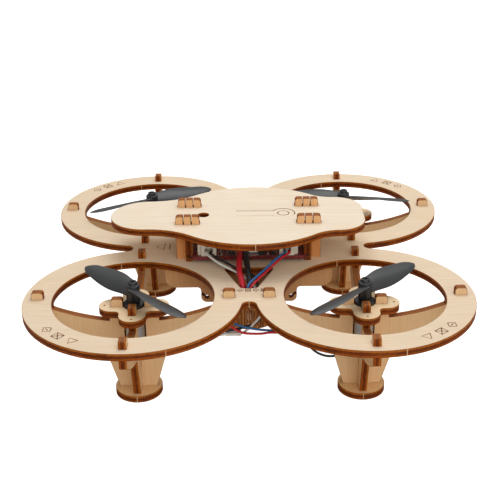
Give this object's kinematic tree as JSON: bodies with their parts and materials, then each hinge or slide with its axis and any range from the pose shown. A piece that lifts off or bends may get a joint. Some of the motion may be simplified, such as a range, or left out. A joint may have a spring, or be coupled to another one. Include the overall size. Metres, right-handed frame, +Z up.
{
  "type": "quadcopter drone kit",
  "caption": "Laser-cut plywood quadcopter with ring guards, slotted rib legs, coreless motors with two-blade propellers and a canopy-covered electronics bay.",
  "frame": {"origin": "on the floor plane under the middle of the airframe", "axes": "+Z up along the motor shafts, +X towards the craft's right-hand pair of rings as seen from the cable-opening end, -Y towards that end"},
  "size_m": [0.1806, 0.1806, 0.0634],
  "materials": {
    "ply_face": "laser-cut birch plywood, pale face veneer",
    "ply_edge": "laser-cut plywood standing on edge, warm face",
    "battery_wrap": "shrink wrap",
    "board": "solder mask",
    "black_plastic": "moulded",
    "steel": "drawn can",
    "white_plastic": "moulded nylon",
    "lamp": "clear resin",
    "prop_plastic": "moulded, slightly satin",
    "wire_red": "soft insulation",
    "wire_black": "soft insulation",
    "wire_blue": "soft insulation",
    "wire_white": "soft insulation"
  },
  "bodies": {
    "airframe": {"frame_plate": "ply_face", "canopy_plate": "ply_face", "bulkhead_front": "ply_edge", "bulkhead_rear": "ply_edge", "bay_wall_left": "ply_edge", "bay_wall_right": "ply_edge", "rib_x_front_left": "ply_edge", "rib_x_front_right": "ply_edge", "rib_x_rear_left": "ply_edge", "rib_x_rear_right": "ply_edge", "rib_y_front_left": "ply_edge", "rib_y_front_right": "ply_edge", "rib_y_rear_left": "ply_edge", "rib_y_rear_right": "ply_edge", "mount_front_left": "ply_face", "mount_front_right": "ply_face", "mount_rear_left": "ply_face", "mount_rear_right": "ply_face", "foot_front_left": "ply_face", "foot_front_right": "ply_face", "foot_rear_left": "ply_face", "foot_rear_right": "ply_face", "kerf_wall": "ply_edge", "circuit_board": "board", "board_chips": "black_plastic", "board_crystal": "steel", "board_lamp": "lamp", "button_case": "black_plastic", "socket_front_left": "white_plastic", "socket_front_right": "white_plastic", "socket_rear_left": "white_plastic", "socket_rear_right": "white_plastic", "power_plug": "white_plastic", "lead_red": "wire_red", "lead_black": "wire_black", "motor_front_left": "steel", "motor_front_right": "steel", "motor_rear_left": "steel", "motor_rear_right": "steel", "wire_front_left_blue": "wire_blue", "wire_front_left_red": "wire_red", "wire_front_right_black": "wire_black", "wire_front_right_white": "wire_white", "wire_rear_left_black": "wire_black", "wire_rear_left_white": "wire_white", "wire_rear_right_blue": "wire_blue", "wire_rear_right_red": "wire_red"},
    "prop_front_left": {"prop_front_left": "prop_plastic", "shaft_front_left": "steel"},
    "prop_front_right": {"prop_front_right": "prop_plastic", "shaft_front_right": "steel"},
    "prop_rear_left": {"prop_rear_left": "prop_plastic", "shaft_rear_left": "steel"},
    "prop_rear_right": {"prop_rear_right": "prop_plastic", "shaft_rear_right": "steel"},
    "battery": {"battery": "battery_wrap"},
    "power_button": {"power_button": "white_plastic"}
  },
  "joints": [
    {"name": "prop_spin_front_left", "type": "hinge", "parent": "airframe", "child": "prop_front_left", "pos_m": [-0.04635, -0.04635, 0.0438], "axis": [0, 0, 1], "continuous": true},
    {"name": "prop_spin_front_right", "type": "hinge", "parent": "airframe", "child": "prop_front_right", "pos_m": [0.04635, -0.04635, 0.0438], "axis": [0, 0, 1], "continuous": true},
    {"name": "prop_spin_rear_left", "type": "hinge", "parent": "airframe", "child": "prop_rear_left", "pos_m": [-0.04635, 0.04635, 0.0438], "axis": [0, 0, 1], "continuous": true},
    {"name": "prop_spin_rear_right", "type": "hinge", "parent": "airframe", "child": "prop_rear_right", "pos_m": [0.04635, 0.04635, 0.0438], "axis": [0, 0, 1], "continuous": true},
    {"name": "battery_slide", "type": "slide", "parent": "airframe", "child": "battery", "axis": [0, 0, -1], "range_m": [0, 0.021]},
    {"name": "power_press", "type": "slide", "parent": "airframe", "child": "power_button", "axis": [0, 0, -1], "range_m": [0, 0.0004], "stiffness_N_per_m": 800}
  ]
}
